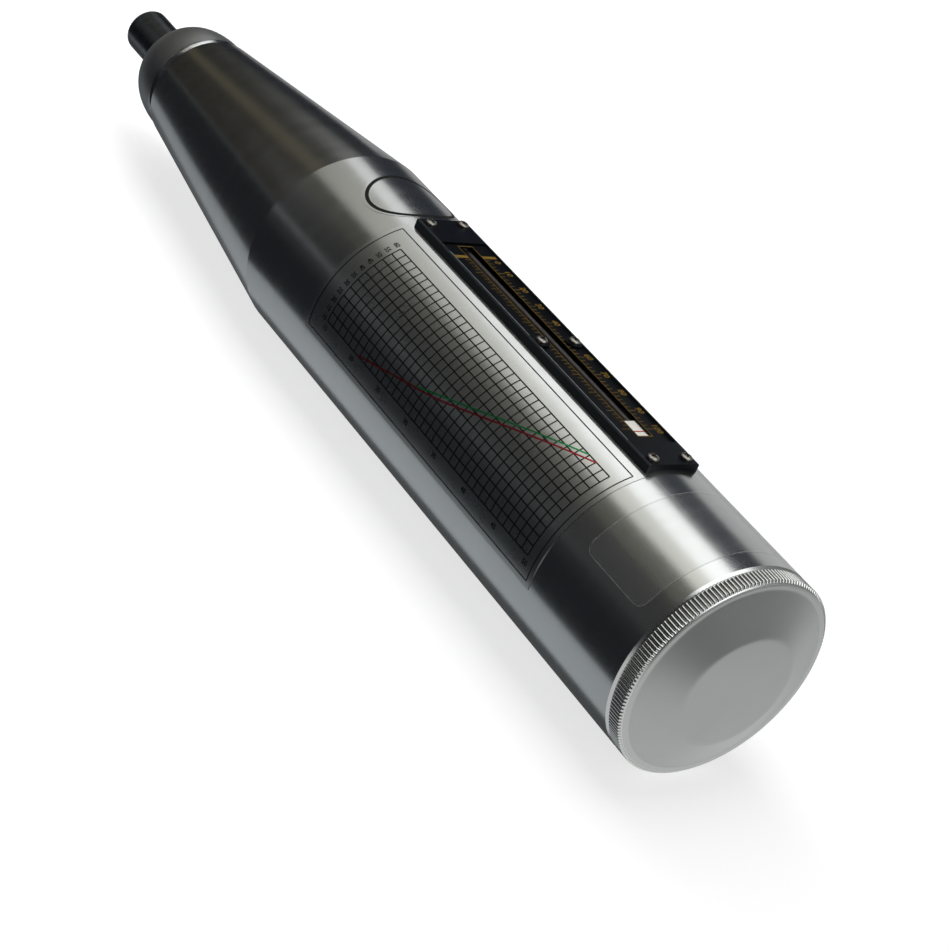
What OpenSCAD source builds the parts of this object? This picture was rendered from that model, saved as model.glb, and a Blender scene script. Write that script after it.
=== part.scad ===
// Concrete test hammer of the rebound kind, drawn with its plunger pushed in.
// The barrel lies along Y with the plunger towards +Y and the scale upwards (+Z).
// The origin is the middle of the flat disc on the rear cap.

/* [Barrel] */
// Outer diameter of the straight barrel
body_d = 57; // [54:0.5:60]
// Wall of the straight barrel
body_wall = 4; // [3.5:0.1:4.5]
// Length of the tapered front of the barrel
taper_l = 84.2; // [78:0.1:90]
// Outer diameter at the front of the taper
taper_end_d = 35; // [34.6:0.1:38]
// Chamfer at the rear edge of the barrel
body_chamfer = 0.6; // [0.3:0.1:1.2]
// Length of the throat bore behind the spring seat
throat_l = 4; // [2:0.5:8]

/* [Rear cap] */
// How far the domed rear face stands behind the rim
cap_dome_h = 4.3; // [2:0.1:5]
// Length of the knurled grip band and its seam groove
cap_grip_l = 5; // [4.5:0.1:8]
// Width of the seam groove in front of the knurl
cap_seam_w = 0.6; // [0.4:0.1:1.5]
// Depth of the seam groove
cap_seam_depth = 0.8; // [0.3:0.1:1.2]
// Diameter of the flat disc in the middle of the rear face
cap_face_d = 31; // [24:0.1:36]
// Width of the flat rim round the dome
cap_rim_w = 1.4; // [1:0.1:3]
// Depth of the chamfer at the rear edge of the knurl
cap_chamfer = 1; // [0.6:0.1:1.4]
// Thickness of the cap from the rim to its inner floor
cap_floor = 2; // [1.5:0.1:4]
// Length of the threaded spigot inside the barrel
cap_spigot_l = 9; // [6:0.5:12]
// Wall of the threaded spigot
cap_spigot_wall = 5.2; // [4:0.1:6]
// Outer diameter of the boss round the zero screw
cap_boss_d = 12; // [10:0.5:14]
// Length of the boss round the zero screw
cap_boss_l = 5; // [4:0.5:6]
// Number of teeth in the knurl
knurl_count = 172; // [60:4:200]
// Depth of the knurl
knurl_depth = 0.45; // [0.2:0.05:0.7]

/* [Nose cap] */
// Length of the nose cap in front of the barrel
nose_l = 18; // [16:0.5:20]
// Largest diameter of the nose cap
nose_d = 33.6; // [33:0.1:34.6]
// Diameter of the flat front of the nose cap
nose_face_d = 22; // [22:0.5:26]
// Length of the rounded front of the nose cap
nose_round_l = 14; // [8:0.5:14.5]
// Length of the flared rear lip of the nose cap
nose_lip_l = 1.4; // [1:0.1:2.4]
// Diameter at the joint between nose cap and barrel
nose_joint_d = 32.8; // [32:0.1:33.4]
// Length of the threaded spigot inside the barrel
nose_spigot_l = 6.2; // [5:0.1:8]
// Depth of the split ring's seat in front of the barrel
ring_seat_y = 8.8; // [8.5:0.1:10]
// Thickness of the split stop ring
ring_t = 2.7; // [2:0.1:3.5]
// Length of the felt seal's groove
felt_l = 4; // [3:0.5:5]
// Outer diameter of the felt seal's groove
felt_d = 21; // [18:0.5:23]

/* [Plunger] */
// Diameter of the plunger where it is guided
plunger_d = 15; // [14:0.1:15.4]
// Diameter of the free end of the plunger
plunger_end_d = 13.8; // [12:0.1:14]
// Length of the free end in front of the nose cap
plunger_out = 22.5; // [18:0.5:40]
// Radius of the ground spherical tip
plunger_tip_r = 25; // [20:1:40]
// Diameter of the collar at the rear of the plunger
collar_d = 17.2; // [16:0.1:18]
// Length of the collar at the rear of the plunger
collar_l = 20; // [16:0.5:24]
// Depth of the bore that the guide rod runs in
plunger_bore_l = 54; // [50:1:60]

/* [Hammer and guide rod] */
// Travel of the hammer and of the plunger
stroke = 75; // [70:1:78]
// Travel of the plunger on its buffer spring
buffer_travel = 3; // [2:0.5:4]
// Diameter of the guide rod
rod_d = 9; // [8:0.5:9.5]
// Length of the guide rod inside the plunger
rod_lap = 28; // [20:1:34]
// Length of the thick part of the hammer
mass_body_l = 32.5; // [28:0.5:36]
// Length of the hammer's neck that carries the impact spring
mass_neck_l = 17; // [14:0.5:20]
// Diameter of the lip that the hook catches
mass_lip_d = 18; // [16:0.5:20]
// Length of the lip that the hook catches
mass_lip_l = 3; // [2:0.5:4]
// Diameter of the groove behind the lip
mass_groove_d = 13.6; // [12:0.2:14]
// Length of the groove behind the lip
mass_groove_l = 4.5; // [4:0.1:6]
// Chamfer on the edges of the hammer
mass_chamfer = 1; // [0.5:0.1:2]

/* [Guide flange and hook] */
// Thickness of the guide flange
flange_l = 6; // [5:0.5:8]
// Gap between the flange and the hammer behind it
flange_gap = 4; // [3:0.5:5]
// Width of the lock groove round the flange
lock_groove_w = 2.8; // [2.6:0.1:3.2]
// Depth of the lock groove round the flange
lock_groove_depth = 3; // [2.8:0.1:3.4]
// Distance of the hook's pivot from the axis
hook_pivot_r = 10; // [9.5:0.1:11]
// Diameter of the hook's pivot pin
hook_pin_d = 3; // [2.4:0.1:3.4]
// Length of the hook's pivot pin
hook_pin_l = 16; // [12:0.5:18]
// Thickness of the hook
hook_t = 4; // [3:0.1:4.5]
// Height of the hook's tooth
hook_tooth_h = 1.6; // [1.4:0.1:2]
// Length of the hook's tooth
hook_tooth_l = 2.7; // [2:0.1:3]
// Height of the hook's arm
hook_arm_h = 2.8; // [2.4:0.1:3.4]
// Radius of the hook's boss round the pin
hook_boss_r = 2.9; // [2.6:0.1:3]
// Reach of the hook's tail behind the flange
hook_tail_l = 13.5; // [12:0.5:15]
// Radius of the hook's rounded tail
hook_tail_r = 1.8; // [1.5:0.1:2]

/* [Zero screw] */
// Diameter of the zero screw
zero_screw_d = 5; // [4:0.5:6]
// Gap between the zero screw and the hook's tail
zero_gap = 2.5; // [2.2:0.1:4]
// Length of the zero screw in front of its lock nut
zero_free_l = 5.3; // [3:0.1:8]
// Height of the lock nut
lock_nut_h = 4; // [3:0.5:5]
// Size across the corners of the lock nut
lock_nut_d = 9.2; // [8.5:0.1:11]

/* [Springs] */
// Coil diameter of the impact spring, at the middle of its wire
impact_coil_d = 25; // [24:0.5:26]
// Wire of the impact spring
impact_wire = 2; // [1.6:0.1:2.2]
// Turns of the impact spring
impact_turns = 15; // [12:1:18]
// Wire of the return spring
return_wire = 1.4; // [1:0.1:1.5]
// Coil diameter of the buffer spring, at the middle of its wire
buffer_coil_d = 6.6; // [6:0.2:7]
// Wire of the buffer spring
buffer_wire = 0.9; // [0.6:0.1:1.1]
// Turns of the buffer spring
buffer_turns = 9; // [6:1:12]
// Coil diameter of the hook spring, at the middle of its wire
hook_coil_d = 2.6; // [2.4:0.1:2.8]
// Wire of the hook spring
hook_wire = 0.45; // [0.3:0.05:0.5]
// Coil diameter of the button spring, at the middle of its wire
button_coil_d = 5.2; // [4.8:0.1:5.6]
// Wire of the button spring
button_wire = 0.5; // [0.4:0.05:0.6]
// Gap between the turns of the springs that are pressed together
coil_gap = 0.6; // [0.5:0.05:1.5]

/* [Spring seat] */
// Length of the seat's flange
seat_l = 6; // [4:0.5:8]
// Length of the hub that carries the impact spring
seat_hub_l = 12; // [8:0.5:16]
// Diameter of the seat's flange
seat_d = 30.4; // [30:0.2:31]

/* [Lock button] */
// Diameter of the button's stem
button_d = 6; // [5:0.5:6.5]
// Travel of the button
button_travel = 2.6; // [2.4:0.1:2.8]
// Length of the stem outside the bush
button_out = 2.6; // [2.6:0.1:5]
// Diameter of the button's lock pin
button_pin_d = 2.4; // [2:0.1:2.5]
// Diameter of the button's shoulder
button_shoulder_d = 8.4; // [7.6:0.1:8.6]
// Thickness of the button's shoulder
button_shoulder_l = 1.4; // [1:0.1:2]
// Diameter of the bush's collar
bush_d = 12; // [11.5:0.5:14]
// Height of the bush's collar
bush_h = 6; // [6:0.5:8]
// Diameter of the bush's threaded end
bush_thread_d = 10; // [9.6:0.1:10.6]
// Thickness of the lip that keeps the button in
bush_lip = 1; // [0.8:0.1:1.4]
// Thickness of the barrel left under the bush
bush_web = 1.4; // [1:0.1:2]
// Depth of the flat that the collar sits on
bush_flat = 0.6; // [0.4:0.1:0.7]

/* [Scale frame] */
// Length of the frame behind the pointer's slot
frame_rear = 1.6; // [1.2:0.1:6]
// Length of the frame in front of the pointer's slot
frame_front = 11.4; // [8:0.1:14]
// Width of the scale frame
frame_w = 15.8; // [15:0.1:18]
// Height of the frame's top above the crest of the barrel
frame_h = 1.4; // [1.2:0.1:3]
// Chamfer along the frame's top edges
frame_chamfer = 0.3; // [0.2:0.1:0.6]
// Length of the recess beyond each end of the scale
recess_over = 6; // [5:0.1:8]
// Width of the recess that holds the scale plate
recess_w = 14.4; // [13:0.1:14.6]
// Depth of the recess
recess_depth = 0.9; // [0.7:0.1:1.1]
// Radius of the lands left round the middle screws
land_r = 2.3; // [2.1:0.1:2.6]
// Thickness of the scale plate
plate_t = 0.4; // [0.3:0.1:0.5]
// Width of the slot in the scale plate
slot_w = 4.3; // [3.5:0.1:5]
// Length of the slot in front of the scale
slot_over = 4.8; // [3:0.1:5]
// Length of the slot behind the scale
slot_rear = 2.7; // [2.4:0.1:4]
// Distance between the two rows of frame screws
screw_gap = 10.5; // [9.8:0.1:10.8]
// Distance of the end screws from the frame's ends
screw_inset = 2.4; // [2.2:0.1:4]
// Diameter of the frame screws' thread
screw_d = 2; // [1.6:0.1:2]
// Diameter of the frame screws' heads
screw_head_d = 3.6; // [3:0.1:3.8]
// Height of the frame screws' heads
screw_head_h = 1.1; // [0.8:0.1:1.6]
// Length of the frame screws under the head
screw_l = 5; // [4:0.5:6]

/* [Pointer] */
// Length of the pointer block
pointer_l = 16; // [14:0.5:17]
// Width of the slot in the barrel that the block runs in
pointer_slot_w = 7.4; // [7:0.1:7.6]
// Length of the pointer's tail that the hammer picks up
pointer_tail_l = 4.5; // [3:0.5:6]
// Height of the pointer's tail
pointer_tail_h = 1.2; // [0.8:0.1:1.6]
// Distance of the pointer's line from the hammer's rear shoulder
pointer_lead = 6.45; // [5:0.05:8]
// Distance of the pointer's front end from its line
pointer_nose = 4.3; // [4:0.1:6]
// Diameter of the pointer shaft
shaft_d = 1.4; // [1:0.1:1.6]
// Distance of the pointer shaft from the middle of the slot
shaft_x = 2.3; // [1.8:0.1:2.4]
// Length of the shaft held in the barrel at each end
shaft_seat = 3; // [2:0.5:4]
// Thickness of the pointer's friction leaf
leaf_t = 0.4; // [0.3:0.1:0.5]

/* [Labels] */
// Thickness of the stuck-on labels
label_t = 0.15; // [0.1:0.05:0.3]
// Arc length of the chart label
chart_arc = 40.3; // [30:0.1:45]
// Gap along the arc between the frame's edge and the chart label
chart_gap = 1.1; // [0.8:0.1:6]
// Reach of the chart label past the frame's front end
chart_front = 1.6; // [0.5:0.1:4]
// Reach of the chart label past the frame's rear end
chart_rear = 1.1; // [0.5:0.1:4]
// Length of the clear label behind the frame
clear_l = 22; // [16:0.1:24]
// Arc length of the clear label
clear_arc = 52; // [40:1:60]
// Distance of the clear label from the rear cap
clear_y = 5.6; // [3:0.1:10]
// Length of the oval label in front of the frame
oval_l = 21.6; // [14:0.1:24]
// Width of the oval label
oval_w = 29.2; // [18:0.1:32]
// Gap between the chart label and the oval label
oval_gap = 1.55; // [1:0.05:4]

/* [Hidden] */
$fn = 96;
// Overrun of every cut past the face that it opens
over = 1;
// Radial clearance of a screwed or pressed joint
seat_clear = 0.03;
// Radial clearance of a running fit
run_clear = 0.05;
// Free gap between pieces that pass each other
free_gap = 0.3;
// Wider free gap round the loose pieces of the mechanism
wide_gap = 0.4;
// Gap left between a spring's end and its seat
spring_gap = 0.2;
// Share of the barrel's wall under the middle of the pointer shaft
shaft_depth_share = 0.68;
// Share of the frame's length behind its middle screws
mid_screw_share = 0.474;
// Share of a frame screw's head that is left at its top
screw_top_share = 0.72;
// Share of the clear label on the chart's side of the crest
clear_side_share = 0.6;
// Sides of the oval label's outline
oval_steps = 48;
// Steps of the nose cap's rounding
nose_steps = 20;
// Steps of the plunger's ground tip
tip_steps = 8;
// Rings in each turn of a spring
ring_steps = 8;
// Sides of a spring's wire
wire_sides = 6;

// Radii
body_r = body_d/2;
bore_r = body_r - body_wall;
taper_end_r = taper_end_d/2;
flange_r = bore_r - wide_gap;
spigot_r = bore_r - seat_clear;
cup_r = spigot_r - cap_spigot_wall;
return_coil_d = 2*(cup_r - return_wire - wide_gap);
plunger_r = plunger_d/2;
collar_r = collar_d/2;
seat_bore_r = collar_r + free_gap;
seat_r = seat_d/2;
hub_r = impact_coil_d/2*cos(180/ring_steps) - wire_r(impact_wire) - spring_gap;
throat_r = impact_coil_d/2 + impact_wire/2 + 2*free_gap;
rod_r = rod_d/2;
rod_bore_r = rod_r + 2*run_clear;
lip_r = mass_lip_d/2;
ring_r = (felt_d/2 + seat_r - body_wall/2)/2;
nose_r = nose_d/2;
nose_face_r = nose_face_d/2;

// Stations along the axis, from the rear face to the plunger's tip
y_rim = cap_dome_h;
y_floor = y_rim + cap_floor;
y_body = y_rim + cap_grip_l;
y_boss = y_floor + cap_boss_l;
y_zero_tip = y_boss + lock_nut_h + zero_free_l;
y_flange = y_zero_tip + zero_gap + hook_tail_l;
y_flange_front = y_flange + flange_l;
y_pivot = y_flange + flange_l/2;
y_mass = y_flange_front + flange_gap;
y_lip_front = y_mass + mass_lip_l;
y_mass_body = y_lip_front + mass_groove_l;
y_neck = y_mass_body + mass_body_l;
y_mass_front = y_neck + mass_neck_l;
y_plunger = y_mass_front + stroke + buffer_travel + free_gap;
y_collar = y_plunger + collar_l;
y_ring = y_collar + stroke + 2*free_gap;
y_ring_front = y_ring + ring_t;
y_taper = y_ring_front - ring_seat_y;
y_cone = y_taper - taper_l;
y_nose = y_taper + nose_l;
y_tip = y_nose + plunger_out;
y_seat_front = y_taper - nose_spigot_l;
y_seat = y_seat_front - seat_l;
y_hub = y_seat - seat_hub_l;
y_rod_front = y_plunger + rod_lap;
y_plunger_bore = y_plunger + plunger_bore_l;
y_index = y_mass_body + pointer_lead;
y_zero = y_index + stroke;
y_recess = y_index - recess_over;
recess_l = stroke + 2*recess_over;
y_block = y_index + pointer_nose - pointer_l;
y_slot = y_block - free_gap*5;
y_slot_end = y_block + pointer_l + stroke + free_gap*5;
y_frame = y_slot - frame_rear;
frame_l = y_slot_end + frame_front - y_frame;
y_chart_front = y_frame + frame_l + chart_front;
screw_rows = [y_frame + screw_inset, y_frame + frame_l*mid_screw_share, y_frame + frame_l - screw_inset];

// Heights above the axis
z_frame = body_r + frame_h;
z_recess = z_frame - recess_depth;
z_shaft = bore_r + body_wall*shaft_depth_share;
z_block = z_recess - free_gap;
z_tail = bore_r - body_wall + wide_gap;
z_block_low = z_tail + pointer_tail_h;
mass_r = z_tail - wide_gap;

// The hook's outline, looking along -X
hook_tooth_z = -lip_r - wide_gap;
hook_arm_z = hook_tooth_z - hook_tooth_h;
hook_low_z = hook_arm_z - hook_arm_h;
hook_tooth_y = y_lip_front + 2*wide_gap;
hook_tail_y = y_flange - hook_tail_l + hook_tail_r;
hook_tail_z = -over;
hook_slot_low = hook_pivot_r + hook_boss_r + hook_arm_h;
hook_slot_high = rod_r + wide_gap*2;

// The lock button's stations along X
x_flat = body_r - bush_flat;
x_web = bore_r + bush_web;
x_bush = x_flat + bush_h;
x_lip = x_bush - bush_lip;
x_shoulder = x_lip - wide_gap - button_shoulder_l;
x_pin = bore_r + free_gap;
bush_bore_r = button_shoulder_d/2 + 2*run_clear;

// Radius of a spring's wire to the corners of its sides
function wire_r(wire) = wire/2/cos(90/wire_sides);

// Points on an arc, for outlines
function arc(cx, cy, rx, ry, from, to, steps) =
    [for (i = [0:steps]) let (a = from + (to - from)*i/steps) [cx + rx*cos(a), cy + ry*sin(a)]];

// Turns an outline of [radius, station] points about the barrel's axis
module turned(points) {
    rotate([-90, 0, 0])
        rotate_extrude()
            polygon(points);
}

// A round bar along the barrel's axis from one station to another
module bar(r, from, to, x = 0, z = 0) {
    translate([x, from, z])
        rotate([-90, 0, 0])
            cylinder(r = r, h = to - from);
}

// A round bar that points away from the axis along X
module side_bar(r, from, to, y) {
    translate([from, y, 0])
        rotate([0, 90, 0])
            cylinder(r = r, h = to - from);
}

// A plate cut to an outline of [station, height] and set across X
module side_plate(t) {
    rotate([90, 0, 90])
        translate([0, 0, -t/2])
            linear_extrude(t)
                children();
}

// A block between two corners
module block(low, high) {
    translate(low)
        cube(high - low);
}

// Middle line of a coil spring: a helix with short straight ends
function helix(r, wire, turns, length) =
    let (pitch = (length - wire)/turns, count = ring_steps*turns)
    concat(
        [[r, -wire, wire/2]],
        [for (i = [0:count]) [r*cos(i*360/ring_steps), r*sin(i*360/ring_steps), wire/2 + pitch*i/ring_steps]],
        [[r, wire, length - wire/2]]);

// Turns of a pressed spring that leave the named gap between them
function pressed_turns(wire, length) = floor((length - wire)/(wire + coil_gap));

// Least gap of a coil spring to itself, over points half a turn or more apart
function self_gap(path, wire) =
    min([for (i = [0:len(path) - 1], j = [i + ring_steps/2:1:len(path) - 1]) norm(path[i] - path[j])]) - wire;

// A wire swept along a path, as one closed tube
module wire_tube(path, wire) {
    last = len(path) - 1;
    r = wire_r(wire);
    rings = [for (i = [0:last])
        let (t = path[min(i + 1, last)] - path[max(i - 1, 0)],
            d = t/norm(t),
            n = cross([0, 0, 1], d),
            u = n/norm(n),
            v = cross(d, u))
        [for (k = [0:wire_sides - 1]) path[i] + r*(cos(k*360/wire_sides)*u + sin(k*360/wire_sides)*v)]];
    points = [for (ring = rings) each ring];
    walls = [for (i = [0:last - 1], k = [0:wire_sides - 1])
        let (a = i*wire_sides + k, b = i*wire_sides + (k + 1)%wire_sides)
        each [[a, a + wire_sides, b], [b, a + wire_sides, b + wire_sides]]];
    rear = [for (k = [1:wire_sides - 2]) [0, k, k + 1]];
    front = [for (k = [1:wire_sides - 2]) [last*wire_sides, last*wire_sides + k + 1, last*wire_sides + k]];
    polyhedron(points, concat(walls, rear, front), convexity = 10);
}

// A coil spring that stands on the origin along Z
module coil_spring(name, coil_d, wire, turns, length) {
    path = helix(coil_d/2, wire, turns, length);
    echo(spring = name, least_gap = self_gap(path, wire));
    wire_tube(path, wire);
}

// Barrel: turned aluminium tube with a tapered front, a slot for the pointer and a seat for the lock button
module housing() {
    color("silver")
        difference() {
            turned([
                [bore_r, y_body], [body_r - body_chamfer, y_body], [body_r, y_body + body_chamfer],
                [body_r, y_cone], [taper_end_r, y_taper],
                [seat_r + seat_clear, y_taper], [seat_r + seat_clear, y_seat], [throat_r, y_seat],
                [throat_r, y_seat - throat_l], [bore_r, y_cone - body_wall]]);
            block([-pointer_slot_w/2, y_slot, 0], [pointer_slot_w/2, y_slot_end, body_r + over]);
            bar(shaft_d/2, y_slot - shaft_seat, y_slot_end + shaft_seat, shaft_x, z_shaft);
            for (y = screw_rows, side = [-1, 1])
                translate([side*screw_gap/2, y, z_frame - screw_l - over/2])
                    cylinder(d = screw_d, h = screw_l + over);
            side_bar(bush_d/2 + free_gap, x_flat, body_r + over, y_pivot);
            side_bar(bush_thread_d/2 + seat_clear, x_web, body_r + over, y_pivot);
            side_bar(button_pin_d/2 + free_gap, bore_r - over, body_r, y_pivot);
        }
}

// Rear cap: knurled, slightly domed aluminium cap that screws into the barrel
module rear_cap() {
    face_r = cap_face_d/2;
    rim_r = body_r - cap_chamfer;
    core_r = body_r - knurl_depth - 2*run_clear;
    y_knurl = y_rim + cap_chamfer/2;
    color("lightgray")
        difference() {
            union() {
                turned([
                    [0, 0], [face_r, 0], [rim_r - cap_rim_w, y_rim], [rim_r, y_rim],
                    [core_r, y_knurl], [core_r, y_body - cap_seam_w],
                    [body_r - cap_seam_depth, y_body - cap_seam_w], [body_r - cap_seam_depth, y_body],
                    [spigot_r, y_body], [spigot_r, y_body + cap_spigot_l], [cup_r, y_body + cap_spigot_l],
                    [cup_r, y_floor], [cap_boss_d/2, y_floor], [cap_boss_d/2, y_boss],
                    [0, y_boss]]);
                knurl();
            }
            bar(zero_screw_d/2, y_rim, y_boss + over);
        }
}

// Straight knurl on the grip band of the rear cap
module knurl() {
    root_r = body_r - knurl_depth;
    step = 360/knurl_count;
    rotate([-90, 0, 0])
        translate([0, 0, y_rim + cap_chamfer/2])
            linear_extrude(cap_grip_l - cap_seam_w - cap_chamfer/2)
                difference() {
                    polygon([for (i = [0:knurl_count - 1], k = [0, 1])
                        let (r = k == 0 ? body_r : root_r, a = (i + k/2)*step)
                        [r*cos(a), r*sin(a)]]);
                    circle(bore_r);
                }
}

// Zero screw: sets the point where the hook lets go
module zero_screw() {
    color("dimgray")
        difference() {
            bar(zero_screw_d/2, y_rim, y_zero_tip);
            translate([0, y_zero_tip, 0])
                block([-body_r, -zero_screw_d/4, -zero_screw_d/10], [body_r, over, zero_screw_d/10]);
        }
}

// Lock nut: holds the zero screw
module lock_nut() {
    color("dimgray")
        difference() {
            translate([0, y_boss, 0])
                rotate([-90, 0, 0])
                    cylinder(d = lock_nut_d, h = lock_nut_h, $fn = 6);
            bar(zero_screw_d/2, y_boss - over, y_boss + lock_nut_h + over);
        }
}

// Nose cap: rounded steel cap that screws into the barrel and guides the plunger
module nose_cap() {
    round_y = y_nose - nose_round_l;
    front_r = plunger_r + free_gap;
    y_felt = y_ring_front + felt_l;
    color("gray")
        turned(concat(
            [[ring_r, y_seat_front], [seat_r, y_seat_front], [seat_r, y_taper], [nose_joint_d/2, y_taper],
            [nose_r, y_taper + nose_lip_l]],
            arc(nose_face_r, round_y, nose_r - nose_face_r, nose_round_l, 0, 90, nose_steps),
            [[front_r, y_nose], [front_r, y_felt], [felt_d/2, y_felt], [felt_d/2, y_ring_front],
            [ring_r, y_ring_front]]));
}

// Snap ring: split steel ring in two halves that stops the plunger's collar
module snap_ring() {
    color("dimgray")
        difference() {
            turned([
                [plunger_r + free_gap, y_ring], [ring_r - seat_clear, y_ring],
                [ring_r - seat_clear, y_ring_front], [plunger_r + free_gap, y_ring_front]]);
            block([-ring_r - over, y_ring - over, -free_gap/2],
                [ring_r + over, y_ring_front + over, free_gap/2]);
        }
}

// Felt seal: keeps dust off the plunger
module felt_seal() {
    color("wheat")
        turned([
            [plunger_r + free_gap/2, y_ring_front], [felt_d/2 - seat_clear, y_ring_front],
            [felt_d/2 - seat_clear, y_ring_front + felt_l], [plunger_r + free_gap/2, y_ring_front + felt_l]]);
}

// Spring seat: fixed ring whose hub holds the front end of the impact spring
module spring_seat() {
    color("dimgray")
        turned([
            [seat_bore_r, y_hub], [hub_r, y_hub], [hub_r, y_seat], [seat_r, y_seat], [seat_r, y_seat_front],
            [seat_bore_r, y_seat_front]]);
}

// Plunger: hardened steel bar with a spherical tip, a stop collar and a bore for the guide rod
module plunger() {
    end_r = plunger_end_d/2;
    sag = plunger_tip_r - sqrt(pow(plunger_tip_r, 2) - pow(end_r, 2));
    tip_angle = asin(end_r/plunger_tip_r);
    color("slategray")
        difference() {
            turned(concat(
                [[0, y_plunger], [collar_r, y_plunger], [collar_r, y_collar], [plunger_r, y_collar],
                [plunger_r, y_nose + over], [end_r, y_nose + over]],
                arc(0, y_tip - plunger_tip_r, plunger_tip_r, plunger_tip_r, 90 - tip_angle, 90, tip_steps)));
            bar(rod_bore_r, y_plunger - over, y_plunger_bore);
        }
}

// Buffer spring: inside the plunger, in front of the guide rod
module buffer_spring() {
    color("darkgray")
        translate([0, y_rod_front + spring_gap, 0])
            rotate([-90, 0, 0])
                coil_spring("buffer", buffer_coil_d, buffer_wire, buffer_turns,
                    y_plunger_bore - y_rod_front - 2*spring_gap);
}

// Guide rod: carries the hammer and reaches into the plunger
module guide_rod() {
    color("gainsboro")
        bar(rod_r, y_flange, y_rod_front);
}

// Guide flange: runs in the barrel, carries the hook and has the groove for the lock button
module guide_flange() {
    groove_r = flange_r - lock_groove_depth;
    color("darkkhaki")
        difference() {
            turned([
                [rod_r + seat_clear, y_flange], [flange_r, y_flange], [flange_r, y_pivot - lock_groove_w/2],
                [groove_r, y_pivot - lock_groove_w/2], [groove_r, y_pivot + lock_groove_w/2],
                [flange_r, y_pivot + lock_groove_w/2], [flange_r, y_flange_front],
                [rod_r + seat_clear, y_flange_front]]);
            block([-hook_t/2 - free_gap, y_flange - over, -hook_slot_low],
                [hook_t/2 + free_gap, y_flange_front + over, -hook_slot_high]);
            block([-pointer_slot_w/2 - free_gap, y_flange - over, z_tail - wide_gap],
                [pointer_slot_w/2 + free_gap, y_flange_front + over, body_r]);
            translate([-hook_pin_l/2, y_pivot, -hook_pivot_r])
                rotate([0, 90, 0])
                    cylinder(d = hook_pin_d, h = hook_pin_l);
        }
}

// Hook: the pawl that draws the hammer back and lets go when its tail meets the zero screw
module hook() {
    reach = [hook_tail_y - y_pivot, hook_tail_z + hook_pivot_r];
    color("dimgray")
        side_plate(hook_t)
            difference() {
                union() {
                    translate([y_pivot, -hook_pivot_r])
                        circle(hook_boss_r);
                    translate([y_pivot, hook_low_z])
                        square([hook_tooth_y + hook_tooth_l - y_pivot, hook_arm_h]);
                    translate([hook_tooth_y, hook_low_z])
                        square([hook_tooth_l, hook_tooth_z - hook_low_z]);
                    translate([y_pivot, -hook_pivot_r])
                        rotate(atan2(reach[1], reach[0]))
                            translate([0, -hook_tail_r])
                                square([norm(reach), 2*hook_tail_r]);
                    translate([hook_tail_y, hook_tail_z])
                        circle(hook_tail_r);
                }
                translate([y_pivot, -hook_pivot_r])
                    circle(hook_pin_d/2 + run_clear);
            }
}

// Hook pin: the hook's pivot, pressed into the flange
module hook_pin() {
    color("gainsboro")
        translate([-hook_pin_l/2, y_pivot, -hook_pivot_r])
            rotate([0, 90, 0])
                cylinder(d = hook_pin_d, h = hook_pin_l);
}

// Hook spring: stands on the rod's rear end and pushes the hook's tail back
module hook_spring() {
    length = hook_tail_l/3 - spring_gap;
    color("darkgray")
        translate([0, y_flange - spring_gap, -hook_coil_d/2 - free_gap])
            rotate([90, 0, 0])
                coil_spring("hook", hook_coil_d, hook_wire, pressed_turns(hook_wire, length), length);
}

// Hammer: the steel mass that strikes the plunger and rebounds
module hammer_mass() {
    c = mass_chamfer;
    color("lightslategray")
        turned([
            [rod_bore_r, y_mass], [lip_r, y_mass], [lip_r, y_lip_front], [mass_groove_d/2, y_lip_front],
            [mass_groove_d/2, y_mass_body], [mass_r - c, y_mass_body], [mass_r, y_mass_body + c],
            [mass_r, y_neck - c], [mass_r - c, y_neck], [hub_r, y_neck], [hub_r, y_mass_front - c],
            [hub_r - c, y_mass_front], [rod_bore_r, y_mass_front]]);
}

// Impact spring: tension spring between the fixed seat and the hammer's neck, drawn out
module impact_spring() {
    from = y_neck + mass_neck_l/3;
    to = y_seat - seat_hub_l/4;
    color("darkgray")
        translate([0, from, 0])
            rotate([-90, 0, 0])
                coil_spring("impact", impact_coil_d, impact_wire, impact_turns, to - from);
}

// Return spring: between the rear cap and the flange, pressed together
module return_spring() {
    length = y_flange - y_floor - 2*spring_gap;
    color("darkgray")
        translate([0, y_floor + spring_gap, 0])
            rotate([-90, 0, 0])
                coil_spring("return", return_coil_d, return_wire, pressed_turns(return_wire, length), length);
}

// Button bush: screwed into the side of the barrel, keeps the lock button in
module button_bush() {
    color("gainsboro")
        difference() {
            union() {
                side_bar(bush_thread_d/2, x_web, x_flat, y_pivot);
                side_bar(bush_d/2, x_flat, x_bush, y_pivot);
            }
            side_bar(bush_bore_r, x_web - over, x_lip, y_pivot);
            side_bar(button_d/2 + run_clear, x_lip - over, x_bush + over, y_pivot);
        }
}

// Lock button: its pin drops into the flange's groove and holds the plunger in
module lock_button() {
    x_top = x_bush + button_out;
    color("gainsboro")
        union() {
            side_bar(button_pin_d/2, x_pin, x_shoulder, y_pivot);
            side_bar(button_shoulder_d/2, x_shoulder, x_shoulder + button_shoulder_l, y_pivot);
            side_bar(button_d/2, x_shoulder + button_shoulder_l, x_top - free_gap, y_pivot);
            translate([x_top - free_gap, y_pivot, 0])
                rotate([0, 90, 0])
                    cylinder(r1 = button_d/2, r2 = button_d/2 - free_gap, h = free_gap);
        }
}

// Button spring: under the button's shoulder
module button_spring() {
    length = x_shoulder - x_web - 2*spring_gap;
    color("darkgray")
        translate([x_web + spring_gap, y_pivot, 0])
            rotate([0, 90, 0])
                coil_spring("button", button_coil_d, button_wire, pressed_turns(button_wire, length), length);
}

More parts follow.
